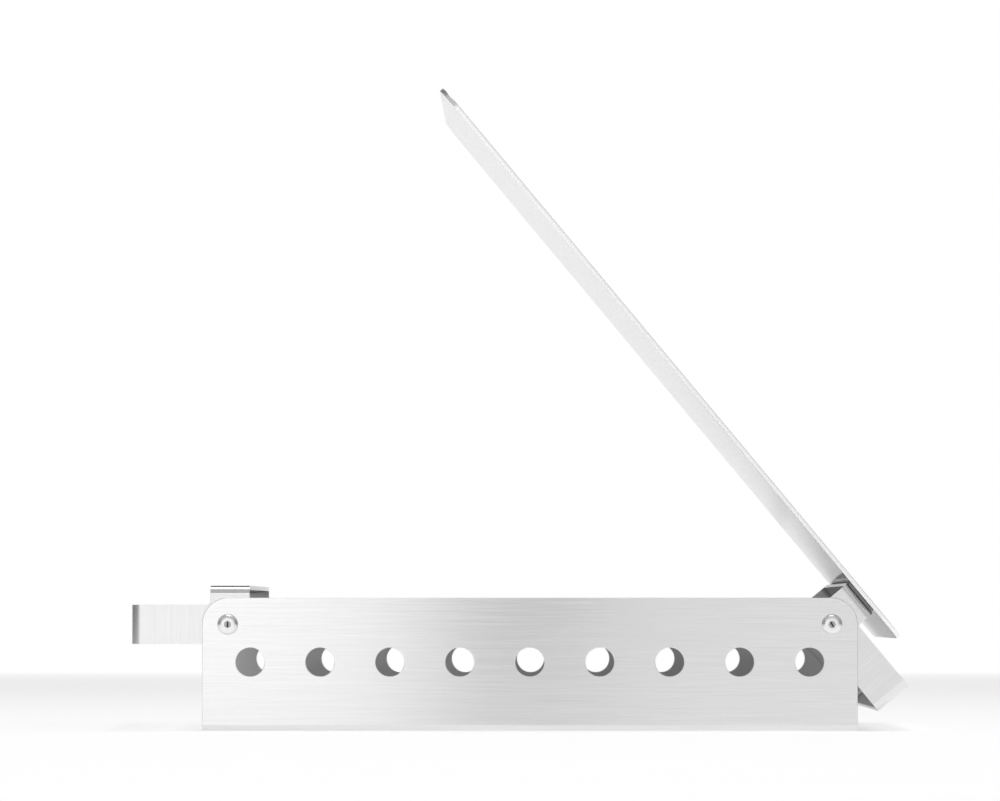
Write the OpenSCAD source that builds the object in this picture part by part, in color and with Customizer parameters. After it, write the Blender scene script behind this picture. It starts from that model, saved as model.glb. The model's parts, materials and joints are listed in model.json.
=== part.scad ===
// Folding laptop stand bent from sheet metal.
// A ventilated channel stands on its flat bottom.  A rocker is pivoted inside each end of it.
// The right rocker carries the support plate; the left one is a handle that folds away.
// Origin: middle of the underside.  +X along the base, +Y to the rear, +Z up.

/* [Base channel] */
// Length of the base along X
base_len = 300; // [290:1:340]
// Width of the base along Y, over the side plates
base_wid = 240; // [160:1:300]
// Height of the side plates
base_ht = 61; // [61:0.5:80]
// Radius of the top corners of the side plates
corner_r = 12; // [4:0.5:12]
// Outside radius of the two bottom bends
base_bend_r = 3; // [2.6:0.1:6]
// Thickness of every sheet-metal piece
sheet = 2; // [1.5:0.1:2.2]

/* [Vent holes] */
// Number of vent holes in each side plate
vent_count = 9; // [1:1:9]
// Diameter of a vent hole
vent_d = 13.2; // [6:0.1:16]
// Distance between neighbouring vent holes
vent_pitch = 32; // [20:0.5:32]
// Height of the row of vent holes above the underside
vent_z = 31.6; // [20:0.1:32]

/* [Pivots] */
// Distance of each pivot from its end of the base
pivot_inset = 11.75; // [11:0.05:14]
// Distance of each pivot below the top edge
pivot_drop = 12.2; // [11:0.1:13]

/* [Rockers] */
// Width of the strip that a rocker is bent from
strip_w = 18; // [14:0.5:18]
// Distance from the pivot to the outside of the handle bar
arm_reach = 44.2; // [36:0.1:44.5]
// Distance from the pivot up to the top of the shelf
shelf_rise = 17.8; // [16:0.1:18.5]
// Distance of the middle of the uprights behind the pivot, away from the handle bar
upright_set_back = 0.85; // [0:0.05:1]
// Outside radius of the bends in a rocker
rocker_bend_r = 4.2; // [2.6:0.1:5]

/* [Support plate] */
// Length of the support plate
plate_len = 328; // [300:1:340]
// Width of the support plate
plate_wid = 240; // [150:1:300]
// Corner radius of the support plate
plate_corner_r = 13; // [4:0.5:20]
// How far the lower end of the plate reaches past the pivot
plate_tail = 24.3; // [12:0.1:26]
// Thickness of the bonding tape between shelf and plate
tape_t = 1.2; // [0.5:0.1:2]
// Angle of the plate above the horizontal
plate_angle = 50.2; // [0:0.1:100]

/* [Pivot screws] */
// Diameter of the screw shank
screw_d = 5; // [4:0.5:6]
// Length of the screw under its head
screw_len = 12; // [11.5:0.5:14]
// Diameter of the head
head_d = 9.5; // [9:0.1:11]
// Height of the head
head_h = 2.75; // [2.5:0.05:3]
// Width of the hexagon socket across its flats
socket_af = 3; // [2.5:0.1:3.5]
// Depth of the hexagon socket
socket_depth = 1.6; // [1:0.1:1.8]
// Width of the lock nut across its flats
nut_af = 8; // [8:0.1:10]
// Height of the lock nut
nut_h = 5; // [4:0.1:5.5]

/* [Washers] */
// Diameter of the nylon friction washers
friction_washer_d = 12; // [10:0.5:16]
// Diameter of the steel washers under the nuts
inner_washer_d = 10; // [9:0.5:14]
// Thickness of all the washers
washer_t = 1; // [0.8:0.1:1]

/* [Hidden] */
$fn = 96;

LEFT = -1;
RIGHT = 1;
FRONT = -1;
REAR = 1;

pivot_x = base_len / 2 - pivot_inset;
pivot_z = base_ht - pivot_drop;
// Clearance on each side face of a rocker, and around the screw in its bore
side_play = 0.05;
bore_play = 0.05;
thread_play = 0.02;
rocker_wid = base_wid - 2 * (sheet + washer_t + side_play);
// Depth below the outer face of the base at which the inner washer starts
stack_depth = 2 * sheet + washer_t + 2 * side_play;
plate_rise = shelf_rise + tape_t;
// The tape stops short of the shelf's edges and of its bends
tape_margin = 1;
tape_len = rocker_wid - 2 * (rocker_bend_r + tape_margin);
inside_corner_r = 1.5;
// Height at which the rounded edge of a screw head starts, and its radius
head_rim = 0.5;
head_edge_r = head_h - head_rim;
// Extra length of a cutting tool past the faces it cuts
over = 1;

// A rectangle standing on the X axis, with its two lower corners rounded
module round_foot_rect(wid, ht, r) {
    translate([-wid / 2, r]) square([wid, ht - r]);
    translate([-wid / 2 + r, 0]) square([wid - 2 * r, ht]);
    for (side = [-1, 1])
        translate([side * (wid / 2 - r), r]) circle(r);
}

// Section of a strip bent into a U: the web lies on the X axis and the legs stand up
module bent_channel(wid, leg, bend_r) {
    difference() {
        round_foot_rect(wid, leg, bend_r);
        translate([0, sheet]) round_foot_rect(wid - 2 * sheet, leg, bend_r - sheet);
    }
}

// A rectangle with four rounded corners, centred
module rounded_rect(len, wid, r) {
    square([len - 2 * r, wid], center = true);
    square([len, wid - 2 * r], center = true);
    for (sx = [-1, 1])
        for (sy = [-1, 1])
            translate([sx * (len / 2 - r), sy * (wid / 2 - r)]) circle(r);
}

// A round tool along Y, long enough to go through both side plates
module cross_bore(d) {
    rotate([90, 0, 0]) cylinder(d = d, h = base_wid + 2 * over, center = true);
}

// Side view of the base, swept across its width, to round the top corners
module base_side_outline() {
    translate([0, 0, base_ht]) rotate([-90, 0, 0])
        linear_extrude(base_wid + 2 * over, center = true)
            round_foot_rect(base_len, base_ht, corner_r);
}

module base_channel() {
    color("gainsboro") difference() {
        intersection() {
            rotate([90, 0, 90]) linear_extrude(base_len, center = true)
                bent_channel(base_wid, base_ht, base_bend_r);
            base_side_outline();
        }
        for (end = [LEFT, RIGHT])
            translate([end * pivot_x, 0, pivot_z]) cross_bore(screw_d + 2 * bore_play);
        for (i = [0 : vent_count - 1])
            translate([(i - (vent_count - 1) / 2) * vent_pitch, 0, vent_z]) cross_bore(vent_d);
    }
}

// Fills the inside corner between the arm and the upright of a rocker's side
module inside_corner_web() {
    translate([strip_w / 2 - upright_set_back, strip_w / 2]) difference() {
        square(inside_corner_r);
        translate([inside_corner_r, inside_corner_r]) circle(inside_corner_r);
    }
}

// One rocker about its pivot: the handle bar lies towards +X and the shelf is on top
module rocker() {
    difference() {
        union() {
            // Arms and handle bar
            translate([arm_reach, 0, 0]) rotate([0, 0, 90])
                linear_extrude(strip_w, center = true)
                    bent_channel(rocker_wid, arm_reach + upright_set_back, rocker_bend_r);
            // Uprights and shelf
            translate([-upright_set_back, 0, shelf_rise]) rotate([-90, 0, 90])
                linear_extrude(strip_w, center = true)
                    bent_channel(rocker_wid, shelf_rise, rocker_bend_r);
            // Round ends of the arms, with the inside corners
            for (side = [FRONT, REAR])
                translate([0, side * (rocker_wid - sheet) / 2, 0]) rotate([90, 0, 0])
                    linear_extrude(sheet, center = true) {
                        translate([-upright_set_back, 0]) circle(strip_w / 2);
                        inside_corner_web();
                    }
        }
        cross_bore(screw_d + 2 * bore_play);
    }
}

// Moves a piece from the pivot's own frame to the opened right pivot
module on_right_pivot() {
    translate([pivot_x, 0, pivot_z]) rotate([0, plate_angle, 0]) children();
}

module rocker_right() {
    color("gainsboro") on_right_pivot() rocker();
}

module rocker_left() {
    color("gainsboro") translate([-pivot_x, 0, pivot_z]) mirror([1, 0, 0]) rocker();
}

module support_plate() {
    color("whitesmoke") on_right_pivot()
        translate([plate_tail - plate_len / 2, 0, plate_rise])
            linear_extrude(sheet) rounded_rect(plate_len, plate_wid, plate_corner_r);
}

module bonding_tape() {
    color("gray") on_right_pivot() translate([-upright_set_back, 0, shelf_rise])
        linear_extrude(tape_t)
            square([strip_w - 2 * tape_margin, tape_len], center = true);
}

// Moves a piece to a pivot: its +Z points out of the base and z = 0 is the outer face
module at_pivot(end, side) {
    translate([end * pivot_x, side * base_wid / 2, pivot_z]) rotate([-90 * side, 0, 0])
        children();
}

// Half section of a screw head: a flat top and a rounded edge
module head_section() {
    intersection() {
        union() {
            square([head_d / 2 - head_edge_r, head_h]);
            square([head_d / 2, head_rim]);
            translate([head_d / 2 - head_edge_r, head_rim]) circle(head_edge_r);
        }
        square([head_d / 2, head_h]);
    }
}

module pivot_screw(end, side) {
    color("silver") at_pivot(end, side) difference() {
        union() {
            rotate_extrude() head_section();
            translate([0, 0, -screw_len]) cylinder(d = screw_d, h = screw_len + over);
        }
        translate([0, 0, head_h - socket_depth])
            cylinder(d = socket_af / cos(30), h = socket_depth + over, $fn = 6);
    }
}

module washer(d, play) {
    difference() {
        cylinder(d = d, h = washer_t);
        translate([0, 0, -over]) cylinder(d = screw_d + 2 * play, h = washer_t + 2 * over);
    }
}

module friction_washer(end, side) {
    color("ivory") at_pivot(end, side)
        translate([0, 0, -sheet - washer_t]) washer(friction_washer_d, bore_play);
}

module inner_washer(end, side) {
    color("silver") at_pivot(end, side)
        translate([0, 0, -stack_depth - washer_t]) washer(inner_washer_d, 3 * bore_play);
}

module lock_nut(end, side) {
    color("silver") at_pivot(end, side)
        translate([0, 0, -stack_depth - washer_t - nut_h]) difference() {
            cylinder(d = nut_af / cos(30), h = nut_h, $fn = 6);
            translate([0, 0, -over]) cylinder(d = screw_d + 2 * thread_play, h = nut_h + 2 * over);
        }
}

base_channel();
support_plate();
rocker_right();
rocker_left();
bonding_tape();
pivot_screw(LEFT, FRONT);  // pivot_screw_front_left
pivot_screw(LEFT, REAR);  // pivot_screw_rear_left
pivot_screw(RIGHT, FRONT);  // pivot_screw_front_right
pivot_screw(RIGHT, REAR);  // pivot_screw_rear_right
friction_washer(LEFT, FRONT);  // friction_washer_front_left
friction_washer(LEFT, REAR);  // friction_washer_rear_left
friction_washer(RIGHT, FRONT);  // friction_washer_front_right
friction_washer(RIGHT, REAR);  // friction_washer_rear_right
inner_washer(LEFT, FRONT);  // inner_washer_front_left
inner_washer(LEFT, REAR);  // inner_washer_rear_left
inner_washer(RIGHT, FRONT);  // inner_washer_front_right
inner_washer(RIGHT, REAR);  // inner_washer_rear_right
lock_nut(LEFT, FRONT);  // lock_nut_front_left
lock_nut(LEFT, REAR);  // lock_nut_rear_left
lock_nut(RIGHT, FRONT);  // lock_nut_front_right
lock_nut(RIGHT, REAR);  // lock_nut_rear_right
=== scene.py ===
"""Looks of a folding laptop stand made of brushed stainless sheet.

A ventilated channel stands on the desk.  A bent rocker is pivoted inside each of its ends: the
right one carries the support plate and the left one is a handle.  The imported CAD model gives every
place and overall size.  The sheet metal and the fasteners are modelled again here, with bends,
deburred edges and cut faces, and each stands for its CAD node.
"""

from __future__ import annotations

import json
import logging
import math
from collections.abc import Callable, Iterable, Iterator
from contextlib import contextmanager
from dataclasses import dataclass, field
from enum import Enum

import bpy
from mathutils import Matrix, Vector

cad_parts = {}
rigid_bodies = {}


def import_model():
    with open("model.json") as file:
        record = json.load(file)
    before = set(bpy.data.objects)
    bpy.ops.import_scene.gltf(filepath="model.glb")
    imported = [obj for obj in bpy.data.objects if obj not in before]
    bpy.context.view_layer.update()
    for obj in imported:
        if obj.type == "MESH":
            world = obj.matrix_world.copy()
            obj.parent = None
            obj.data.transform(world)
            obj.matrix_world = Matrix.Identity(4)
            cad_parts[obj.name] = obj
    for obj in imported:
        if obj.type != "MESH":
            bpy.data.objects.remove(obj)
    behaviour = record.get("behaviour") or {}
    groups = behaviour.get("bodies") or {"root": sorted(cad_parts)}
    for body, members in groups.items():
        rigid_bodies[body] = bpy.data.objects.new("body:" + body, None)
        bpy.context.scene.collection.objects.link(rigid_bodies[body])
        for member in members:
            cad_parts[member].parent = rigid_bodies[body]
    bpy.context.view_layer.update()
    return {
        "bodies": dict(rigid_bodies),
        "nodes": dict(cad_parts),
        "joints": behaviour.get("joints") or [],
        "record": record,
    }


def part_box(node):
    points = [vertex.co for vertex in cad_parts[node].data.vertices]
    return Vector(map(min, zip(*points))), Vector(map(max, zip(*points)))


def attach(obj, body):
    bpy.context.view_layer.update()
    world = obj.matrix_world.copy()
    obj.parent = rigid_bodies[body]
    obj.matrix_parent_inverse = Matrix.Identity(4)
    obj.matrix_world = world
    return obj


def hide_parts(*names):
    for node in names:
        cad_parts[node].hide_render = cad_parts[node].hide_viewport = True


LOG = logging.getLogger("laptop_stand")

MM = 0.001
FRONT = -1
REAR = 1
SIDE_NAMES = {FRONT: "front", REAR: "rear"}
QUARTER_TURN = math.pi / 2
FLAT_MAP = "sheet_map"
NEAR = 0.01 * MM
SLIVER = 0.004 * MM
SHARP_ANGLE = math.radians(38)
SMOOTH_ANGLE = math.radians(50)
OVERLENGTH = 1.1


class Grain(Enum):
    """The axis that a finish's brush lines run along, in the piece's own frame."""

    X = 0
    Y = 1
    Z = 2


class Slot(Enum):
    """Material slots of a sheet-metal piece, in order."""

    FACE = 0
    CUT = 1
    INSIDE = 2
    SHELF = 3


# ---------------------------------------------------------------------------- finishes


class FinishSheet:
    """The node tree of one material, with short calls to add nodes and join them."""

    def __init__(self, name: str) -> None:
        """Start an empty tree with its shader and output.

        Args:
            name: The material's name.
        """
        self.material = bpy.data.materials.new(name)
        self.material.use_nodes = True
        self.tree = self.material.node_tree
        self.tree.nodes.clear()
        self.shader = self.add("ShaderNodeBsdfPrincipled")
        output = self.add("ShaderNodeOutputMaterial")
        self.join(self.shader.outputs["BSDF"], output.inputs["Surface"])

    def add(self, kind: str) -> bpy.types.Node:
        """Add a node of that kind and return it."""
        return self.tree.nodes.new(kind)

    def join(self, source: bpy.types.NodeSocket, target: bpy.types.NodeSocket) -> None:
        """Link one socket to another."""
        self.tree.links.new(source, target)

    def place(self, turn: float, sizes: tuple[float, float, float]) -> bpy.types.NodeSocket:
        """Give Object coordinates turned about Y and divided by the pattern's size on each axis.

        Args:
            turn: Angle of the piece about Y, in radians.
            sizes: Size of one feature of the pattern along X, Y and Z, in metres.

        Returns:
            The socket that carries the coordinates.
        """
        coordinates = self.add("ShaderNodeTexCoord")
        mapping = self.add("ShaderNodeMapping")
        mapping.vector_type = "TEXTURE"
        mapping.inputs["Rotation"].default_value = (0.0, turn, 0.0)
        mapping.inputs["Scale"].default_value = sizes
        self.join(coordinates.outputs["Object"], mapping.inputs["Vector"])
        return mapping.outputs["Vector"]

    def noise(
        self, where: bpy.types.NodeSocket, detail: float = 2.0, roughness: float = 0.5
    ) -> bpy.types.NodeSocket:
        """Add fractal noise on those coordinates and return its value."""
        node = self.add("ShaderNodeTexNoise")
        node.inputs["Scale"].default_value = 1.0
        node.inputs["Detail"].default_value = detail
        node.inputs["Roughness"].default_value = roughness
        self.join(where, node.inputs["Vector"])
        return node.outputs["Fac"]

    def spread(self, value: bpy.types.NodeSocket, low: float, high: float) -> bpy.types.NodeSocket:
        """Stretch the middle of a noise value to run from low to high."""
        node = self.add("ShaderNodeMapRange")
        node.inputs["From Min"].default_value = 0.3
        node.inputs["From Max"].default_value = 0.7
        node.inputs["To Min"].default_value = low
        node.inputs["To Max"].default_value = high
        self.join(value, node.inputs["Value"])
        return node.outputs["Result"]

    def mean(
        self, first: bpy.types.NodeSocket, second: bpy.types.NodeSocket, share: float
    ) -> bpy.types.NodeSocket:
        """Mix two values, with that share of the second."""
        node = self.add("ShaderNodeMix")
        node.inputs[0].default_value = share
        self.join(first, node.inputs[2])
        self.join(second, node.inputs[3])
        return node.outputs[0]

    def tint(
        self,
        amount: bpy.types.NodeSocket,
        dark: tuple[float, float, float],
        light: tuple[float, float, float],
    ) -> None:
        """Colour the shader between two colours by an amount from 0 to 1."""
        node = self.add("ShaderNodeMix")
        node.data_type = "RGBA"
        node.inputs[6].default_value = (*dark, 1.0)
        node.inputs[7].default_value = (*light, 1.0)
        self.join(amount, node.inputs[0])
        self.join(node.outputs[2], self.shader.inputs["Base Color"])

    def follow_map(self) -> None:
        """Point the shader's tangent along the U axis of the piece's map."""
        node = self.add("ShaderNodeTangent")
        node.direction_type = "UV_MAP"
        node.uv_map = FLAT_MAP
        self.join(node.outputs["Tangent"], self.shader.inputs["Tangent"])

    def bump(self, height: bpy.types.NodeSocket, depth: float) -> None:
        """Give the shader relief of that depth, in metres."""
        node = self.add("ShaderNodeBump")
        node.inputs["Strength"].default_value = 1.0
        node.inputs["Distance"].default_value = depth
        self.join(height, node.inputs["Height"])
        self.join(node.outputs["Normal"], self.shader.inputs["Normal"])

    def bare_metal(
        self,
        amount: bpy.types.NodeSocket,
        tones: tuple[float, float],
        roughness: tuple[float, float],
        blue: float = 1.0,
    ) -> None:
        """Make the shader a metal whose tone and roughness follow one noise value.

        Args:
            amount: The noise value.
            tones: Its darkest and lightest grey.
            roughness: Its least and greatest roughness.
            blue: Factor on the blue of the darkest grey.
        """
        dark, light = tones
        self.tint(self.spread(amount, 0.0, 1.0), (dark, dark, dark * blue), (light, light, light))
        self.join(self.spread(amount, *roughness), self.shader.inputs["Roughness"])
        self.shader.inputs["Metallic"].default_value = 1.0


@dataclass(frozen=True)
class BrushedSteel:
    """Stainless sheet drawn over a belt: long fine lines, a few wider ones and faint clouding.

    The lines spread a reflection across themselves and keep it sharp along themselves.  At a
    glancing angle the sheet is nearly a mirror, which a thin clear coat gives.
    """

    name: str
    grain: Grain
    turn: float = 0.0
    tone: float = 0.80
    line_width: float = 0.2 * MM
    line_length: float = 30 * MM
    band_width: float = 0.55 * MM
    band_length: float = 45 * MM
    cloud_size: float = 110 * MM
    band_share: float = 0.6
    cloud_share: float = 0.3
    relief_share: float = 0.25
    smoothest: float = 0.17
    roughest: float = 0.23
    spread_across: float = 0.85
    glance: float = 1.0
    glance_roughness: float = 0.05
    contrast: float = 0.06
    depth: float = 0.0015 * MM

    def sizes(self, along: float, across: float) -> tuple[float, float, float]:
        """Return a streak's size on each axis, long along the grain."""
        lengths = [across, across, across]
        lengths[self.grain.value] = along
        return (lengths[0], lengths[1], lengths[2])

    def build(self) -> bpy.types.Material:
        """Make the material."""
        sheet = FinishSheet(self.name)
        fine = sheet.noise(sheet.place(self.turn, self.sizes(self.line_length, self.line_width)), 3.0)
        bands = sheet.noise(sheet.place(self.turn, self.sizes(self.band_length, self.band_width)), 2.0)
        cloud = sheet.noise(sheet.place(self.turn, (self.cloud_size,) * 3), 2.0)
        drawn = sheet.mean(fine, bands, self.band_share)
        worn = sheet.mean(drawn, cloud, self.cloud_share)
        dark = self.tone * (1 - self.contrast)
        light = self.tone * (1 + self.contrast)
        sheet.tint(sheet.spread(drawn, 0.0, 1.0), (dark, dark, dark * 1.002), (light, light, light))
        sheet.join(sheet.spread(worn, self.smoothest, self.roughest), sheet.shader.inputs["Roughness"])
        sheet.bump(sheet.mean(fine, bands, self.relief_share), self.depth)
        sheet.shader.inputs["Metallic"].default_value = 1.0
        sheet.shader.inputs["Anisotropic"].default_value = self.spread_across
        sheet.shader.inputs["Anisotropic Rotation"].default_value = 0.25 if self.grain is Grain.X else 0.0
        sheet.shader.inputs["Coat Weight"].default_value = self.glance
        sheet.shader.inputs["Coat Roughness"].default_value = self.glance_roughness
        sheet.follow_map()
        return sheet.material


@dataclass(frozen=True)
class CutFace:
    """The cut and deburred edge of the sheet: short marks across it and a brighter, worn rim."""

    name: str
    turn: float = 0.0
    tone: float = 0.86
    contrast: float = 0.05
    smoothest: float = 0.24
    roughest: float = 0.38
    mark_width: float = 0.22 * MM
    mark_length: float = 2.4 * MM
    wear_size: float = 9 * MM
    wear_share: float = 0.4
    depth: float = 0.0006 * MM
    across: Grain = Grain.Y

    def build(self) -> bpy.types.Material:
        """Make the material."""
        sheet = FinishSheet(self.name)
        sizes = [self.mark_width] * 3
        sizes[self.across.value] = self.mark_length
        marks = sheet.noise(sheet.place(self.turn, (sizes[0], sizes[1], sizes[2])), 2.0)
        wear = sheet.noise(sheet.place(self.turn, (self.wear_size,) * 3), 3.0)
        mixed = sheet.mean(marks, wear, self.wear_share)
        dark = self.tone * (1 - self.contrast)
        light = self.tone * (1 + self.contrast)
        sheet.bare_metal(mixed, (dark, light), (self.smoothest, self.roughest))
        sheet.bump(marks, self.depth)
        return sheet.material


@dataclass(frozen=True)
class MillSteel:
    """The inside of the sheet, left as it came from the mill: greyer, pickled and faintly mottled."""

    name: str
    tone: float = 0.50
    smoothest: float = 0.26
    roughest: float = 0.36
    darkest: float = 0.93
    lightest: float = 1.05
    pickle_size: float = 0.6 * MM
    patch_sizes: tuple[float, float, float] = (22 * MM, 7 * MM, 14 * MM)
    patch_share: float = 0.6
    depth: float = 0.002 * MM

    def build(self) -> bpy.types.Material:
        """Make the material."""
        sheet = FinishSheet(self.name)
        pickle = sheet.noise(sheet.place(0.0, (self.pickle_size,) * 3), 4.0, 0.6)
        patches = sheet.noise(sheet.place(0.0, self.patch_sizes), 3.0)
        mixed = sheet.mean(pickle, patches, self.patch_share)
        tones = (self.tone * self.darkest, self.tone * self.lightest)
        sheet.bare_metal(mixed, tones, (self.smoothest, self.roughest), blue=1.01)
        sheet.bump(pickle, self.depth)
        return sheet.material


@dataclass(frozen=True)
class BrightSteel:
    """Cold-headed stainless fasteners: bright and satin, with fine tumbling marks."""

    name: str
    tone: float = 0.90
    smoothest: float = 0.28
    roughest: float = 0.36
    darkest: float = 0.92
    lightest: float = 1.05
    scuff_size: float = 0.5 * MM
    patch_size: float = 3 * MM
    patch_share: float = 0.5
    depth: float = 0.004 * MM

    def build(self) -> bpy.types.Material:
        """Make the material."""
        sheet = FinishSheet(self.name)
        scuffs = sheet.noise(sheet.place(0.0, (self.scuff_size,) * 3), 4.0, 0.6)
        patches = sheet.noise(sheet.place(0.0, (self.patch_size,) * 3), 2.0)
        mixed = sheet.mean(scuffs, patches, self.patch_share)
        tones = (self.tone * self.darkest, self.tone * self.lightest)
        sheet.bare_metal(mixed, tones, (self.smoothest, self.roughest), blue=1.01)
        sheet.bump(scuffs, self.depth)
        return sheet.material


@dataclass(frozen=True)
class Nylon:
    """Natural moulded nylon: milky, slightly waxy, with faint flow clouding."""

    name: str
    colour: tuple[float, float, float] = (0.80, 0.78, 0.71)

    def build(self) -> bpy.types.Material:
        """Make the material."""
        sheet = FinishSheet(self.name)
        flow = sheet.noise(sheet.place(0.0, (4 * MM, 4 * MM, 4 * MM)), 3.0)
        skin = sheet.noise(sheet.place(0.0, (0.3 * MM, 0.3 * MM, 0.3 * MM)), 2.0)
        dark = tuple(channel * 0.9 for channel in self.colour)
        sheet.tint(sheet.spread(flow, 0.0, 1.0), (dark[0], dark[1], dark[2]), self.colour)
        sheet.join(sheet.spread(skin, 0.38, 0.55), sheet.shader.inputs["Roughness"])
        sheet.bump(skin, 0.008 * MM)
        sheet.shader.inputs["Subsurface Weight"].default_value = 0.15
        sheet.shader.inputs["Subsurface Radius"].default_value = (0.001, 0.001, 0.001)
        return sheet.material


@dataclass(frozen=True)
class FoamTape:
    """Grey closed-cell acrylic foam tape, seen on its cut sides."""

    name: str
    colour: tuple[float, float, float] = (0.60, 0.60, 0.605)

    def build(self) -> bpy.types.Material:
        """Make the material."""
        sheet = FinishSheet(self.name)
        cells = sheet.noise(sheet.place(0.0, (0.25 * MM, 0.25 * MM, 0.25 * MM)), 3.0, 0.65)
        dark = tuple(channel * 0.7 for channel in self.colour)
        sheet.tint(sheet.spread(cells, 0.0, 1.0), (dark[0], dark[1], dark[2]), self.colour)
        sheet.join(sheet.spread(cells, 0.7, 0.9), sheet.shader.inputs["Roughness"])
        sheet.bump(cells, 0.06 * MM)
        return sheet.material


@dataclass(frozen=True)
class StudioPaper:
    """The matt surface that the stand is shown on, kept white by a faint glow of its own."""

    name: str = "studio_paper"
    tone: float = 0.88
    glow: float = 0.49

    def build(self) -> bpy.types.Material:
        """Make the material."""
        sheet = FinishSheet(self.name)
        tooth = sheet.noise(sheet.place(0.0, (2 * MM, 2 * MM, 2 * MM)), 3.0)
        dark = self.tone * 0.99
        sheet.tint(tooth, (dark, dark, dark), (self.tone, self.tone, self.tone))
        sheet.shader.inputs["Roughness"].default_value = 0.8
        sheet.shader.inputs["Specular IOR Level"].default_value = 0.0
        sheet.shader.inputs["Emission Color"].default_value = (1.0, 1.0, 1.0, 1.0)
        sheet.shader.inputs["Emission Strength"].default_value = self.glow
        return sheet.material


# ---------------------------------------------------------------------------- the bench


def deselect_all() -> None:
    """Leave nothing selected, in object mode."""
    if bpy.context.mode != "OBJECT":
        bpy.ops.object.mode_set(mode="OBJECT")
    bpy.ops.object.select_all(action="DESELECT")


def make_active(piece: bpy.types.Object) -> None:
    """Select that piece alone and make it active."""
    deselect_all()
    piece.select_set(True)
    bpy.context.view_layer.objects.active = piece


@contextmanager
def editing(piece: bpy.types.Object, mode: str) -> Iterator[None]:
    """Edit one piece, with VERT, EDGE or FACE selection, and come back to object mode."""
    make_active(piece)
    bpy.ops.object.mode_set(mode="EDIT")
    bpy.ops.mesh.select_mode(type=mode)
    try:
        yield
    finally:
        bpy.ops.object.mode_set(mode="OBJECT")


def pick_points(piece: bpy.types.Object, wanted: Callable[[Vector], bool]) -> int:
    """Select the vertices whose places pass the test, with the edges and faces between them.

    Args:
        piece: The mesh object, in object mode.
        wanted: Test on a vertex's place.

    Returns:
        How many vertices were selected.
    """
    mesh = piece.data
    chosen = {vertex.index for vertex in mesh.vertices if wanted(vertex.co)}
    for vertex in mesh.vertices:
        vertex.select = vertex.index in chosen
    for edge in mesh.edges:
        edge.select = all(index in chosen for index in edge.vertices)
    for face in mesh.polygons:
        face.select = all(index in chosen for index in face.vertices)
    return len(chosen)


def pick_faces(piece: bpy.types.Object, wanted: Callable[[bpy.types.MeshPolygon], bool]) -> int:
    """Select the faces that pass the test, and nothing else, and return how many they are."""
    mesh = piece.data
    for vertex in mesh.vertices:
        vertex.select = False
    for edge in mesh.edges:
        edge.select = False
    count = 0
    for face in mesh.polygons:
        face.select = wanted(face)
        count += face.select
    return count


def apply_modifier(piece: bpy.types.Object, kind: str, **settings: object) -> None:
    """Add a modifier with those settings to a piece and apply it."""
    modifier = piece.modifiers.new(kind.lower(), kind)
    for key, value in settings.items():
        setattr(modifier, key, value)
    make_active(piece)
    bpy.ops.object.modifier_apply(modifier=modifier.name)


def give_slots(piece: bpy.types.Object, materials: Iterable[bpy.types.Material]) -> None:
    """Give a piece those materials as its slots, in order."""
    piece.data.materials.clear()
    for material in materials:
        piece.data.materials.append(material)


def settle(piece: bpy.types.Object) -> None:
    """Put a piece's place, turn and scale into its mesh."""
    make_active(piece)
    bpy.ops.object.transform_apply(location=True, rotation=True, scale=True)


def lay_map(piece: bpy.types.Object) -> None:
    """Give a piece a map whose U axis runs level along each face, from a box projection."""
    while piece.data.uv_layers:
        piece.data.uv_layers.remove(piece.data.uv_layers[0])
    piece.data.uv_layers.new(name=FLAT_MAP)
    with editing(piece, "FACE"):
        bpy.ops.mesh.select_all(action="SELECT")
        bpy.ops.uv.cube_project(cube_size=0.1, correct_aspect=False, scale_to_bounds=False)


def carve(piece: bpy.types.Object, tool: bpy.types.Object, operation: str = "DIFFERENCE") -> None:
    """Cut a piece with a tool, or keep what they share, and remove the tool."""
    apply_modifier(piece, "BOOLEAN", operation=operation, object=tool, solver="EXACT")
    bpy.data.objects.remove(tool)
    with editing(piece, "VERT"):
        bpy.ops.mesh.select_all(action="SELECT")
        bpy.ops.mesh.remove_doubles(threshold=0.002 * MM)


def rod(
    radius: float, length: float, centre: Vector, axis: Grain = Grain.Y, sides: int = 64
) -> bpy.types.Object:
    """Add a plain round rod, used as a cutting tool or as a blank.

    Args:
        radius: Radius, in metres.
        length: Length along its axis.
        centre: Middle of the rod.
        axis: The axis that it lies along.
        sides: Number of sides.

    Returns:
        The rod.
    """
    turns = {Grain.X: (0.0, QUARTER_TURN, 0.0), Grain.Y: (QUARTER_TURN, 0.0, 0.0), Grain.Z: (0.0, 0.0, 0.0)}
    deselect_all()
    bpy.ops.mesh.primitive_cylinder_add(
        vertices=sides, radius=radius, depth=length, location=centre, rotation=turns[axis]
    )
    tool = bpy.context.active_object
    settle(tool)
    return tool


def hexagon_radius(flats: float) -> float:
    """Return the radius at the corners of a hexagon of that width across its flats."""
    return flats / 2 / math.cos(math.pi / 6)


def join_tools(tools: list[bpy.types.Object]) -> bpy.types.Object:
    """Make several cutting tools one object."""
    make_active(tools[0])
    for tool in tools[1:]:
        tool.select_set(True)
    bpy.ops.object.join()
    return bpy.context.active_object


def mark_tool(tool: bpy.types.Object, slot: Slot) -> None:
    """Mark a tool so that the faces it cuts take that material slot."""
    for _ in Slot:
        tool.data.materials.append(None)
    for face in tool.data.polygons:
        face.material_index = slot.value


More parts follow.
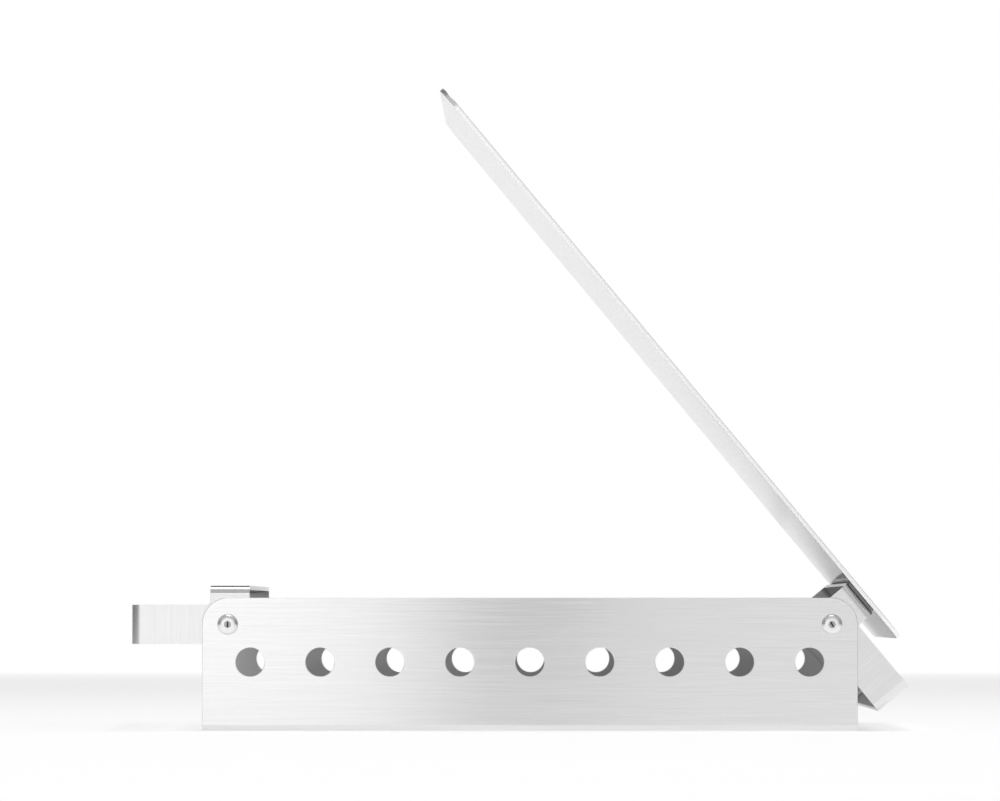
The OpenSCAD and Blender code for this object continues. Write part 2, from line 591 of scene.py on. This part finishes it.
def ease_edges(piece: bpy.types.Object, width: float, slot: Slot | None = None) -> None:
    """Break every sharp edge by a small round, and smooth the shading of the bends.

    Args:
        piece: The piece.
        width: Width of the round, in metres.
        slot: Material slot of the rounds, or None to take their neighbour's.
    """
    apply_modifier(
        piece,
        "BEVEL",
        width=width,
        segments=2,
        limit_method="ANGLE",
        angle_limit=SHARP_ANGLE,
        use_clamp_overlap=True,
        material=-1 if slot is None else slot.value,
    )
    with editing(piece, "VERT"):
        bpy.ops.mesh.select_all(action="SELECT")
        bpy.ops.mesh.dissolve_degenerate(threshold=SLIVER)
    make_active(piece)
    bpy.ops.object.shade_smooth_by_angle(angle=SMOOTH_ANGLE)
    apply_modifier(piece, "WEIGHTED_NORMAL", mode="FACE_AREA", weight=50, keep_sharp=True)


def dress(piece: bpy.types.Object, name: str, body: str, slot: str, *nodes: str) -> None:
    """Name a finished piece, tie it to its body and hide the CAD nodes that it stands for.

    Args:
        piece: The finished piece.
        name: The piece's name.
        body: The CAD body that it moves with.
        slot: Not used.
        nodes: The CAD nodes that it stands for.
    """
    piece.name = name
    piece.data.name = name
    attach(piece, body)
    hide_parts(*nodes)
    LOG.info("%s: %d faces, rides on %s", name, len(piece.data.polygons), body)


# ---------------------------------------------------------------------------- sheet metal


@dataclass
class SheetShell:
    """The outer skin of a bent sheet, grown edge by edge and then given its thickness."""

    piece: bpy.types.Object
    sheet: float = 2 * MM
    bend_steps: int = 10

    @classmethod
    def from_rectangle(cls, size_x: float, size_y: float, height: float, middle: float = 0.0) -> SheetShell:
        """Start from a flat rectangle facing up.

        Args:
            size_x: Size along X.
            size_y: Size along Y.
            height: Height of the rectangle.
            middle: Place of its middle along X.

        Returns:
            The shell.
        """
        deselect_all()
        bpy.ops.mesh.primitive_plane_add(size=1.0, location=(middle, 0.0, height))
        piece = bpy.context.active_object
        piece.scale = (size_x, size_y, 1.0)
        settle(piece)
        return cls(piece)

    def bend(self, wanted: Callable[[Vector], bool], angle: float, centre: Vector, axis: Vector) -> None:
        """Roll the picked edge round a bend, by the right-hand rule, which spin takes reversed."""
        pick_points(self.piece, wanted)
        with editing(self.piece, "EDGE"):
            bpy.ops.mesh.spin(steps=self.bend_steps, angle=-angle, center=centre, axis=axis)

    def extend(self, wanted: Callable[[Vector], bool], step: Vector) -> None:
        """Draw the picked edge out by a step."""
        pick_points(self.piece, wanted)
        with editing(self.piece, "EDGE"):
            bpy.ops.mesh.extrude_region_move(TRANSFORM_OT_translate={"value": step})

    def round_corners(self, wanted: Callable[[Vector], bool], radius: float, steps: int = 14) -> None:
        """Round the picked corners of the skin."""
        pick_points(self.piece, wanted)
        with editing(self.piece, "VERT"):
            bpy.ops.mesh.bevel(offset=radius, segments=steps, affect="VERTICES", profile=0.5)

    def join_up(self) -> None:
        """Merge the skin's doubles and turn every face of it outwards."""
        with editing(self.piece, "VERT"):
            bpy.ops.mesh.select_all(action="SELECT")
            bpy.ops.mesh.remove_doubles(threshold=NEAR)
            bpy.ops.mesh.normals_make_consistent(inside=False)

    def thicken(self) -> None:
        """Give the skin the sheet's thickness, inwards, with slots for its cut and inner faces."""
        apply_modifier(
            self.piece,
            "SOLIDIFY",
            thickness=self.sheet,
            offset=-1.0,
            use_even_offset=True,
            use_rim=True,
            material_offset=Slot.INSIDE.value,
            material_offset_rim=Slot.CUT.value,
        )


@dataclass
class BaseChannel:
    """The ventilated channel that stands on the desk."""

    low: Vector
    high: Vector
    vents: list[Vector]
    pivots: list[Vector]
    bend_radius: float = 3 * MM
    corner_radius: float = 12 * MM
    vent_radius: float = 6.6 * MM
    bore_radius: float = 2.55 * MM

    def skin(self) -> SheetShell:
        """Grow the outer skin: the floor, two bends and two side plates."""
        size = self.high - self.low
        half = size.y / 2 - self.bend_radius
        shell = SheetShell.from_rectangle(size.x, 2 * half, 0.0)
        for side in (FRONT, REAR):
            centre = Vector((0.0, side * half, self.bend_radius))
            shell.bend(
                lambda p: p.y * side > half - NEAR and p.z < NEAR,
                side * QUARTER_TURN,
                centre,
                Vector((1.0, 0.0, 0.0)),
            )
            wall = size.y / 2
            shell.extend(
                lambda p: p.y * side > wall - NEAR and p.z > self.bend_radius - NEAR,
                Vector((0.0, 0.0, size.z - self.bend_radius)),
            )
        shell.join_up()
        return shell

    def build(
        self, face: bpy.types.Material, cut: bpy.types.Material, inside: bpy.types.Material
    ) -> bpy.types.Object:
        """Model the channel.

        Args:
            face: Finish of the sheet's outer faces.
            cut: Finish of its cut edges.
            inside: Finish of its inner faces.

        Returns:
            The finished piece.
        """
        shell = self.skin()
        give_slots(shell.piece, (face, cut, inside))
        top = self.high.z - NEAR
        shell.round_corners(lambda p: p.z > top, self.corner_radius)
        shell.thicken()
        width = self.high.y - self.low.y
        tools = [rod(self.vent_radius, width * OVERLENGTH, place) for place in self.vents]
        tools += [rod(self.bore_radius, width * OVERLENGTH, place) for place in self.pivots]
        tool = join_tools(tools)
        mark_tool(tool, Slot.CUT)
        carve(shell.piece, tool)
        ease_edges(shell.piece, 0.22 * MM, Slot.CUT)
        lay_map(shell.piece)
        return shell.piece


@dataclass
class Rocker:
    """A bent rocker: handle bar, two arms, two uprights and a shelf, about its pivot."""

    pivot: Vector
    turn: float
    heading: float
    width: float
    strip: float = 18 * MM
    set_back: float = 0.85 * MM
    reach: float = 44.2 * MM
    rise: float = 17.8 * MM
    bend_radius: float = 4.2 * MM
    inside_radius: float = 1.5 * MM
    bore_radius: float = 2.55 * MM

    def skin(self) -> SheetShell:
        """Grow the outer skin from the shelf, down both uprights, out along the arms to the bar."""
        half_strip = self.strip / 2
        half = self.width / 2
        flat = half - self.bend_radius
        shell = SheetShell.from_rectangle(self.strip, 2 * flat, self.rise, -self.set_back)
        corner = half_strip - self.set_back
        along_x = Vector((1.0, 0.0, 0.0))
        along_z = Vector((0.0, 0.0, 1.0))
        for side in (FRONT, REAR):
            centre = Vector((0.0, side * flat, self.rise - self.bend_radius))
            shell.bend(lambda p: p.y * side > flat - NEAR, -side * QUARTER_TURN, centre, along_x)
            shoulder = self.rise - self.bend_radius

            def at_wall(p: Vector) -> bool:
                """Tell whether a point lies on this side's outer face."""
                return p.y * side > half - NEAR

            shell.extend(
                lambda p: at_wall(p) and p.z < shoulder + NEAR,
                Vector((0.0, 0.0, half_strip - shoulder)),
            )
            shell.extend(
                lambda p: at_wall(p) and p.z < half_strip + NEAR,
                Vector((0.0, 0.0, -self.strip)),
            )
            shell.extend(
                lambda p: at_wall(p) and p.x > corner - NEAR and p.z < half_strip + NEAR,
                Vector((self.reach - self.bend_radius - corner, 0.0, 0.0)),
            )
            elbow = Vector((self.reach - self.bend_radius, side * flat, 0.0))
            shell.bend(
                lambda p: at_wall(p) and p.x > elbow.x - NEAR,
                -side * QUARTER_TURN,
                elbow,
                along_z,
            )
        bar = self.reach - NEAR
        shell.extend(lambda p: p.x > bar and p.y < 0, Vector((0.0, 2 * flat, 0.0)))
        shell.join_up()
        return shell

    def build(self, finishes: tuple[bpy.types.Material, ...]) -> bpy.types.Object:
        """Model the rocker and put it at its pivot.

        Args:
            finishes: Finishes of its outer faces, cut edges, inner faces and shelf, in order.

        Returns:
            The finished piece.
        """
        shell = self.skin()
        give_slots(shell.piece, finishes)
        half_strip = self.strip / 2
        edge = NEAR - half_strip
        shell.round_corners(lambda p: p.x < edge - self.set_back and p.z < edge, half_strip, 18)
        shell.thicken()
        self.fill_inside_corners(shell.piece)
        tool = rod(self.bore_radius, self.width * OVERLENGTH, Vector((0.0, 0.0, 0.0)), sides=48)
        mark_tool(tool, Slot.CUT)
        carve(shell.piece, tool)
        ease_edges(shell.piece, 0.22 * MM, Slot.CUT)
        self.mark_shelf(shell.piece)
        lay_map(shell.piece)
        shell.piece.rotation_euler = (0.0, self.turn, self.heading)
        shell.piece.location = self.pivot
        settle(shell.piece)
        return shell.piece

    def fill_inside_corners(self, piece: bpy.types.Object) -> None:
        """Round the inside corners where the uprights rise from the arms."""
        level = self.strip / 2
        side = level - self.set_back
        pick_points(piece, lambda p: abs(p.x - side) < NEAR and abs(p.z - level) < NEAR)
        with editing(piece, "EDGE"):
            bpy.ops.mesh.bevel(offset=self.inside_radius, segments=6, affect="EDGES", profile=0.5)

    def mark_shelf(self, piece: bpy.types.Object) -> None:
        """Give the flat of the shelf its own finish."""
        under = self.rise - 3 * MM
        for face in piece.data.polygons:
            level = abs(face.normal.z) > 0.7 and face.center.z > under
            if level and face.material_index == Slot.FACE.value:
                face.material_index = Slot.SHELF.value


@dataclass
class SupportPlate:
    """The flat plate that the laptop lies on, bonded to the right rocker's shelf."""

    pivot: Vector
    turn: float
    width: float
    length: float = 328 * MM
    tail: float = 24.3 * MM
    underside: float = 19.0 * MM
    sheet: float = 2 * MM
    corner_radius: float = 13 * MM

    def build(self, face: bpy.types.Material, cut: bpy.types.Material) -> bpy.types.Object:
        """Model the plate and put it at its pivot.

        Args:
            face: Finish of the two faces.
            cut: Finish of the cut edge.

        Returns:
            The finished piece.
        """
        shell = SheetShell.from_rectangle(self.length, self.width, self.underside + self.sheet)
        give_slots(shell.piece, (face, cut, face))
        shell.round_corners(lambda p: True, self.corner_radius, 20)
        shell.thicken()
        ease_edges(shell.piece, 0.25 * MM, Slot.CUT)
        lay_map(shell.piece)
        middle = Vector((self.tail - self.length / 2, 0.0, 0.0))
        turned = Matrix.Rotation(self.turn, 4, "Y") @ middle
        shell.piece.rotation_euler = (0.0, self.turn, 0.0)
        shell.piece.location = self.pivot + turned
        settle(shell.piece)
        return shell.piece


@dataclass
class BondingTape:
    """The strip of foam tape between the shelf and the plate, a little squeezed out at its sides."""

    pivot: Vector
    turn: float
    width: float = 16 * MM
    length: float = 223.5 * MM
    bottom: float = 17.8 * MM
    thickness: float = 1.2 * MM
    set_back: float = 0.85 * MM
    squeeze: float = 0.25 * MM

    def build(self, foam: bpy.types.Material) -> bpy.types.Object:
        """Model the tape in that foam and put it at its pivot."""
        deselect_all()
        middle = self.bottom + self.thickness / 2
        bpy.ops.mesh.primitive_cube_add(size=1.0, location=(-self.set_back, 0.0, middle))
        piece = bpy.context.active_object
        piece.scale = (self.width, self.length, self.thickness)
        settle(piece)
        pick_faces(piece, lambda face: abs(face.normal.z) < 0.5)
        with editing(piece, "FACE"):
            bpy.ops.mesh.subdivide(number_cuts=2)
        low = middle - self.thickness * 0.3
        high = middle + self.thickness * 0.3
        pick_points(piece, lambda p: low < p.z < high)
        with editing(piece, "VERT"):
            bpy.ops.transform.resize(
                value=(1 + 2 * self.squeeze / self.width, 1 + 2 * self.squeeze / self.length, 1.0),
                center_override=(-self.set_back, 0.0, middle),
            )
        give_slots(piece, (foam,))
        ease_edges(piece, 0.12 * MM)
        piece.rotation_euler = (0.0, self.turn, 0.0)
        piece.location = self.pivot
        settle(piece)
        return piece


# ---------------------------------------------------------------------------- fasteners


@dataclass
class Fasteners:
    """The four pivot screws with their nuts and washers.

    Each is modelled once, standing on Z with z = 0 at the outer face of the base, and copied.
    """

    sheet: float = 2 * MM
    washer: float = 1 * MM
    play: float = 0.05 * MM
    shank_radius: float = 2.5 * MM
    screw_length: float = 12 * MM
    head_radius: float = 4.75 * MM
    head_height: float = 2.75 * MM
    head_rim: float = 0.5 * MM
    head_steps: int = 10
    socket_flats: float = 3 * MM
    socket_depth: float = 1.6 * MM
    ledge_depth: float = 0.45 * MM
    valley: tuple[float, float] = (0.8 * MM, 2.5 * MM)
    nut_flats: float = 8 * MM
    nut_height: float = 5 * MM
    hexagon_share: float = 0.68
    nut_chamfer: float = 0.45 * MM
    thread_pitch: float = 0.8 * MM
    thread_turns: int = 5
    thread_depth: float = 0.09
    thread_play: float = 0.02 * MM
    masters: dict[str, bpy.types.Object] = field(default_factory=dict)

    @property
    def stack(self) -> float:
        """Depth of the inner washer's outer face below the base's outer face."""
        return 2 * self.sheet + self.washer + 2 * self.play

    def rounded_edge(self) -> list[tuple[float, float]]:
        """Return the rings of the head's rounded edge as (radius, height), from its rim to its top."""
        round_radius = self.head_height - self.head_rim
        land = self.head_radius - round_radius
        angles = [QUARTER_TURN * step / self.head_steps for step in range(1, self.head_steps + 1)]
        return [
            (land + round_radius * math.cos(a), self.head_rim + round_radius * math.sin(a)) for a in angles
        ]

    def screw(self, steel: bpy.types.Material, recess: bpy.types.Material) -> bpy.types.Object:
        """Model a socket screw: disc, rounded edge ring by ring, socket, shank and thread."""
        deselect_all()
        bpy.ops.mesh.primitive_cylinder_add(
            vertices=64, radius=self.head_radius, depth=self.head_rim, location=(0, 0, self.head_rim / 2)
        )
        piece = bpy.context.active_object
        settle(piece)
        radius, height = self.head_radius, self.head_rim
        for next_radius, next_height in self.rounded_edge():
            top = height - 0.001 * MM
            pick_points(piece, lambda p: p.z > top)
            with editing(piece, "FACE"):
                bpy.ops.mesh.inset(thickness=radius - next_radius)
                bpy.ops.transform.translate(value=(0.0, 0.0, next_height - height))
            radius, height = next_radius, next_height
        self.draw_shank(piece)
        # Slot 1 is the darker socket finish: painted shade in the socket's recess.
        give_slots(piece, (steel, recess))
        self.sink_socket(piece, height)
        ease_edges(piece, 0.06 * MM)
        return piece

    def draw_shank(self, piece: bpy.types.Object) -> None:
        """Draw the shank out of the head's underside, with a rolled thread at its end."""
        pick_faces(piece, lambda face: face.normal.z < -0.9)
        plain = self.screw_length - self.thread_turns * self.thread_pitch
        with editing(piece, "FACE"):
            bpy.ops.mesh.inset(thickness=self.head_radius - self.shank_radius)
            bpy.ops.mesh.extrude_region_move(TRANSFORM_OT_translate={"value": (0, 0, -plain)})
            root = 1 - self.thread_depth
            for _ in range(self.thread_turns):
                for shrink in (root, 1 / root):
                    bpy.ops.mesh.extrude_region_move(
                        TRANSFORM_OT_translate={"value": (0, 0, -self.thread_pitch / 2)}
                    )
                    bpy.ops.transform.resize(value=(shrink, shrink, 1.0))

    def sink_socket(self, piece: bpy.types.Object, top: float) -> None:
        """Cut the shallow hexagon socket, with the narrow valley that the punch leaves in its bottom; its
        faces take the darker socket finish, painted shade in the recess.
        """
        corner = hexagon_radius(self.socket_flats)
        hexagon = rod(corner, 2 * self.ledge_depth, Vector((0, 0, top)), Grain.Z, sides=6)
        width, length = self.valley
        deep = self.socket_depth - self.ledge_depth
        deselect_all()
        bpy.ops.mesh.primitive_cube_add(size=1.0, location=(0, 0, top - self.ledge_depth - deep / 2))
        slit = bpy.context.active_object
        slit.scale = (width, length, deep)
        settle(slit)
        pick_faces(slit, lambda face: face.normal.z < -0.9)
        with editing(slit, "FACE"):
            bpy.ops.transform.resize(value=(0.1, 0.75, 1.0))
        pick_faces(slit, lambda face: face.normal.z > 0.9)
        with editing(slit, "FACE"):
            bpy.ops.mesh.extrude_region_move(TRANSFORM_OT_translate={"value": (0, 0, 0.2 * MM)})
        for tool in (hexagon, slit):
            # The socket's faces take slot 1, the darker socket finish, which paints the shade in the
            # recess.
            mark_tool(tool, Slot.CUT)
            carve(piece, tool)

    def nut(self, steel: bpy.types.Material, nylon: bpy.types.Material) -> bpy.types.Object:
        """Model a lock nut: chamfered hexagon, rolled collar and the nylon ring inside it."""
        corner = hexagon_radius(self.nut_flats)
        hexagon = self.nut_height * self.hexagon_share
        low = -self.stack - self.washer - self.nut_height
        middle = Vector((0, 0, low + self.nut_height - hexagon / 2))
        blank = rod(corner, hexagon, middle, Grain.Z, sides=6)
        turned = rod(corner, hexagon, middle, Grain.Z)
        ease_edges(turned, self.nut_chamfer)
        carve(blank, turned, "INTERSECT")
        pick_faces(blank, lambda face: face.normal.z < -0.9)
        collar = self.nut_height - hexagon
        with editing(blank, "FACE"):
            bpy.ops.mesh.inset(thickness=0.35 * MM)
            bpy.ops.mesh.extrude_region_move(TRANSFORM_OT_translate={"value": (0, 0, -collar * 0.7)})
            bpy.ops.mesh.extrude_region_move(TRANSFORM_OT_translate={"value": (0, 0, -collar * 0.3)})
            bpy.ops.transform.resize(value=(0.88, 0.88, 1.0))
        bore_radius = self.shank_radius + self.thread_play
        bore = rod(bore_radius, 3 * self.nut_height, Vector((0, 0, low)), Grain.Z, 48)
        carve(blank, bore)
        seat = rod(self.shank_radius * 1.28, 2.4 * MM, Vector((0, 0, low)), Grain.Z, 48)
        carve(blank, seat)
        give_slots(blank, (steel, nylon))
        ease_edges(blank, 0.08 * MM)
        ring = self.ring(self.shank_radius * 1.27, bore_radius, 0.9 * MM, low + 0.3 * MM)
        give_slots(ring, (steel, nylon))
        for face in ring.data.polygons:
            face.material_index = 1
        return join_tools([blank, ring])

    @staticmethod
    def ring(outer: float, inner: float, thickness: float, bottom: float) -> bpy.types.Object:
        """Model a flat ring on Z.

        Args:
            outer: Outer radius.
            inner: Inner radius.
            thickness: Thickness along Z.
            bottom: Height of its lower face.

        Returns:
            The ring, with its edges eased.
        """
        middle = Vector((0, 0, bottom + thickness / 2))
        piece = rod(outer, thickness, middle, Grain.Z)
        carve(piece, rod(inner, 3 * thickness, middle, Grain.Z, sides=48))
        ease_edges(piece, 0.1 * MM)
        return piece

    def prepare(
        self, steel: bpy.types.Material, recess: bpy.types.Material, nylon: bpy.types.Material
    ) -> None:
        """Model one of each fastener.

        Args:
            steel: Finish of the screws, nuts and inner washers.
            recess: Darker, duller finish inside the screws' sockets, painted shade in the recesses.
            nylon: Finish of the friction washers and the nuts' rings.
        """
        outer = -self.sheet - self.washer
        inner = -self.stack - self.washer
        friction = self.ring(6 * MM, self.shank_radius + self.play, self.washer, outer)
        give_slots(friction, (nylon,))
        flat = self.ring(5 * MM, self.shank_radius + 3 * self.play, self.washer, inner)
        give_slots(flat, (steel,))
        self.masters = {
            "pivot_screw": self.screw(steel, recess),
            "friction_washer": friction,
            "inner_washer": flat,
            "lock_nut": self.nut(steel, nylon),
        }

    def place(self, pivot: Vector, end: str, outer_face: float, body: str) -> None:
        """Copy every fastener to the front and rear of one pivot.

        Args:
            pivot: Middle of the pivot's axis.
            end: Name of that end of the base.
            outer_face: Distance of the base's outer faces from its middle.
            body: The body that they ride on.
        """
        slots = {"friction_washer": "nylon"}
        for kind, master in self.masters.items():
            for side, side_name in SIDE_NAMES.items():
                copy = master.copy()
                copy.data = master.data.copy()
                bpy.context.scene.collection.objects.link(copy)
                spin = 0.0 if (kind, end) == ("pivot_screw", "left") else math.radians(30)
                lying = Matrix.Rotation(-side * QUARTER_TURN, 3, "X")
                copy.rotation_euler = (lying @ Matrix.Rotation(spin, 3, "Z")).to_euler()
                copy.location = Vector((pivot.x, side * outer_face, pivot.z))
                settle(copy)
                node = f"{kind}_{side_name}_{end}"
                dress(copy, f"{node}_part", body, slots.get(kind, "bright_steel"), node)

    def clear(self) -> None:
        """Remove the masters once they have been copied."""
        for master in self.masters.values():
            bpy.data.objects.remove(master)
        self.masters = {}


# ---------------------------------------------------------------------------- studio


@dataclass
class SoftLight:
    """One large soft lamp that isn't seen itself."""

    name: str
    place: Vector
    target: Vector
    size: tuple[float, float]
    glow: float

    def build(self) -> None:
        """Add the lamp, with the power that gives its surface that glow."""
        lamp = bpy.data.lights.new(self.name, "AREA")
        lamp.shape = "RECTANGLE"
        lamp.size, lamp.size_y = self.size
        lamp.energy = self.glow * math.pi * self.size[0] * self.size[1]
        holder = bpy.data.objects.new(self.name, lamp)
        holder.location = self.place
        holder.rotation_euler = (self.target - self.place).to_track_quat("-Z", "Y").to_euler()
        holder.visible_camera = False
        bpy.context.scene.collection.objects.link(holder)


@dataclass
class Studio:
    """The pale floor, the soft light and the camera."""

    focal_length: float = 254.5
    sensor_width: float = 36.0
    sight: float = 100.0
    eye: Vector = field(default_factory=lambda: Vector((0.0049, -3.357, 0.0552)))
    rise: float = math.radians(1.701)
    left: float = math.radians(0.328)
    surround: float = 0.12
    backdrop: float = 1.0
    floor_size: float = 6.4
    backdrop_height: float = 0.38
    panel_distance: float = 2.4
    ahead: float = 50.0
    rows: tuple[tuple[str, float, float], ...] = (("low", 0.15, 0.3), ("high", 0.6, 0.6))
    panels: tuple[tuple[str, float, float, float, float], ...] = (
        ("far_left_panel", -3.0, -1.5, 0.14, 0.14),
        ("outer_left_panel", -1.5, -0.7, 0.55, 0.5),
        ("front_left_panel", -0.7, -0.1, 1.24, 1.3),
        ("front_middle_panel", -0.1, -0.06, 0.66, 0.68),
        ("front_right_panel", 0.035, 1.0, 0.65, 0.66),
        ("outer_right_panel", 1.0, 2.0, 0.35, 0.35),
    )

    def camera(self) -> None:
        """Add the camera, level with the side plate and far away."""
        lens = bpy.data.cameras.new("camera")
        lens.lens = self.focal_length
        lens.sensor_width = self.sensor_width
        lens.clip_end = self.sight
        holder = bpy.data.objects.new("camera", lens)
        aim = Vector((-math.tan(self.left), 1.0, math.tan(self.rise)))
        holder.location = self.eye
        holder.rotation_euler = aim.to_track_quat("-Z", "Y").to_euler()
        bpy.context.scene.collection.objects.link(holder)
        bpy.context.scene.camera = holder

    def floor(self) -> None:
        """Add the floor, one broad flat sheet of pale paper."""
        deselect_all()
        bpy.ops.mesh.primitive_plane_add(size=self.floor_size, location=(0.0, 0.0, -0.05 * MM))
        paper = bpy.context.active_object
        paper.name = "floor"
        settle(paper)
        give_slots(paper, (StudioPaper().build(),))

    def world(self) -> None:
        """Surround the stand with grey that the camera sees as the white backdrop."""
        world = bpy.data.worlds.new("studio")
        world.use_nodes = True
        tree = world.node_tree
        tree.nodes.clear()
        seen = tree.nodes.new("ShaderNodeBackground")
        seen.inputs["Color"].default_value = (1.0, 1.0, 1.0, 1.0)
        seen.inputs["Strength"].default_value = self.backdrop
        around = tree.nodes.new("ShaderNodeBackground")
        around.inputs["Color"].default_value = (1.0, 1.0, 1.0, 1.0)
        around.inputs["Strength"].default_value = self.surround
        path = tree.nodes.new("ShaderNodeLightPath")
        mix = tree.nodes.new("ShaderNodeMixShader")
        output = tree.nodes.new("ShaderNodeOutputWorld")
        tree.links.new(path.outputs["Is Camera Ray"], mix.inputs["Fac"])
        tree.links.new(around.outputs["Background"], mix.inputs[1])
        tree.links.new(seen.outputs["Background"], mix.inputs[2])
        tree.links.new(mix.outputs["Shader"], output.inputs["Surface"])
        bpy.context.scene.world = world

    def lights(self) -> None:
        """Add the soft lamps: backdrop, overhead lamp, fills, side banks and a row of front panels."""
        aim = Vector((0.0, 0.0, 0.1))
        behind = Vector((0.0, 3.2, self.backdrop_height))
        level = Vector((0.0, -self.ahead, self.backdrop_height))
        lamps = [
            SoftLight("backdrop_bank", behind, level, (5.0, 0.75), 0.82),
            SoftLight("overhead_lamp", Vector((0.0, 0.0, 2.2)), aim, (0.95, 0.95), 3.5),
            SoftLight("front_fill", Vector((0.0, -2.2, 1.48)), aim, (5.0, 1.7), 0.41),
            SoftLight("upper_fill", Vector((0.0, -1.02, 2.28)), aim, (5.0, 1.3), 0.41),
            SoftLight("left_side_bank", Vector((-3.0, 0.3, 1.9)), aim, (3.0, 2.4), 0.42),
            SoftLight("right_side_bank", Vector((3.0, 0.3, 1.9)), aim, (3.0, 2.4), 0.42),
            SoftLight("upper_backdrop", Vector((0.0, 3.2, 1.9)), aim, (3.0, 2.0), 0.35),
        ]
        for name, left, right, low_glow, high_glow in self.panels:
            middle = (left + right) / 2
            for (row, height, tall), glow in zip(self.rows, (low_glow, high_glow)):
                place = Vector((middle, -self.panel_distance, height))
                target = place + Vector((0.0, self.ahead, 0.0))
                lamps.append(SoftLight(f"{name}_{row}", place, target, (right - left, tall), glow))
        for lamp in lamps:
            lamp.build()

    def build(self) -> None:
        """Set up the whole studio."""
        bpy.context.scene.view_settings.view_transform = "Standard"
        self.camera()
        self.floor()
        self.world()
        self.lights()


# ---------------------------------------------------------------------------- the stand


@dataclass
class LaptopStand:
    """The whole stand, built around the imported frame."""

    frame: dict
    plate_pivot: Vector = field(init=False)
    handle_pivot: Vector = field(init=False)
    plate_angle: float = field(init=False)

    def __post_init__(self) -> None:
        """Read the pivots and the plate's angle from the frame's joints."""
        joints = {joint["name"]: joint for joint in self.frame["joints"]}
        self.plate_pivot = Vector(joints["plate_hinge"]["pos_m"])
        self.handle_pivot = Vector(joints["handle_hinge"]["pos_m"])
        self.plate_angle = math.radians(-joints["plate_hinge"]["range_deg"][0])

    def vents(self) -> list[Vector]:
        """Return the middles of the vent holes, from the record's openings."""
        openings = self.frame["record"]["physics"]["openings"]
        boxes = [entry["box_m"] for entry in openings if entry["name"].startswith("vent")]
        return [(Vector(low) + Vector(high)) / 2 for low, high in boxes]

    def build_base(self) -> None:
        """Make the channel."""
        low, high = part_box("base_channel")
        channel = BaseChannel(low, high, self.vents(), [self.plate_pivot, self.handle_pivot])
        face = BrushedSteel("brushed_along_base", Grain.X, glance=0.3).build()
        cut = CutFace("cut_edge_base").build()
        inside = MillSteel("mill_finish_base").build()
        piece = channel.build(face, cut, inside)
        dress(piece, "base_channel_sheet", "base", "brushed_sheet", "base_channel")

    def build_rockers(self) -> None:
        """Make both rockers."""
        low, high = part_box("rocker_left")
        width = high.y - low.y
        ends = (
            ("rocker_right", "plate_arm", self.plate_pivot, self.plate_angle, 0.0),
            ("rocker_left", "handle_arm", self.handle_pivot, 0.0, math.pi),
        )
        for node, body, pivot, turn, heading in ends:
            rocker = Rocker(pivot, turn, heading, width)
            finishes = (
                BrushedSteel(f"brushed_arms_{node}", Grain.Z, turn, glance=0.0).build(),
                CutFace(f"cut_edge_{node}", turn).build(),
                MillSteel(f"mill_finish_{node}").build(),
                BrushedSteel(f"brushed_shelf_{node}", Grain.Y, turn, glance=0.0).build(),
            )
            dress(rocker.build(finishes), f"{node}_strip", body, "brushed_strip", node)

    def build_plate(self) -> None:
        """Make the support plate and the tape that holds it."""
        low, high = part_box("support_plate")
        plate = SupportPlate(self.plate_pivot, self.plate_angle, high.y - low.y)
        face = BrushedSteel(
            "brushed_along_plate",
            Grain.X,
            self.plate_angle,
            tone=0.72,
            line_width=0.4 * MM,
            band_width=1.2 * MM,
            smoothest=0.19,
            roughest=0.21,
            glance=0.5,
            contrast=0.02,
            depth=0.0,
        ).build()
        cut = CutFace("cut_edge_plate", self.plate_angle, tone=0.94, contrast=0.02, across=Grain.Z).build()
        dress(plate.build(face, cut), "support_plate_sheet", "plate_arm", "brushed_sheet", "support_plate")
        tape = BondingTape(self.plate_pivot, self.plate_angle)
        foam = FoamTape("grey_foam").build()
        dress(tape.build(foam), "bonding_tape_strip", "plate_arm", "grey_foam_tape", "bonding_tape")

    def build_fasteners(self) -> None:
        """Make the screws, nuts and washers of both pivots."""
        _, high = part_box("base_channel")
        fasteners = Fasteners()
        # Dull grey finish inside the screw sockets, darker than the bright steel: painted shade in the
        # recesses.
        recess = CutFace("punched_socket", tone=0.42, contrast=0.12, mark_length=0.6 * MM).build()
        fasteners.prepare(BrightSteel("bright_steel").build(), recess, Nylon("natural_nylon").build())
        fasteners.place(self.handle_pivot, "left", high.y, "base")
        fasteners.place(self.plate_pivot, "right", high.y, "base")
        fasteners.clear()

    def build(self) -> None:
        """Make every piece in order."""
        self.build_base()
        self.build_rockers()
        self.build_plate()
        self.build_fasteners()


def main() -> None:
    """Load the frame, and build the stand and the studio."""
    logging.basicConfig(level=logging.INFO, format="%(name)s: %(message)s")
    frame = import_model()
    stand = LaptopStand(frame)
    stand.build()
    Studio().build()


if __name__ == "__main__":
    main()
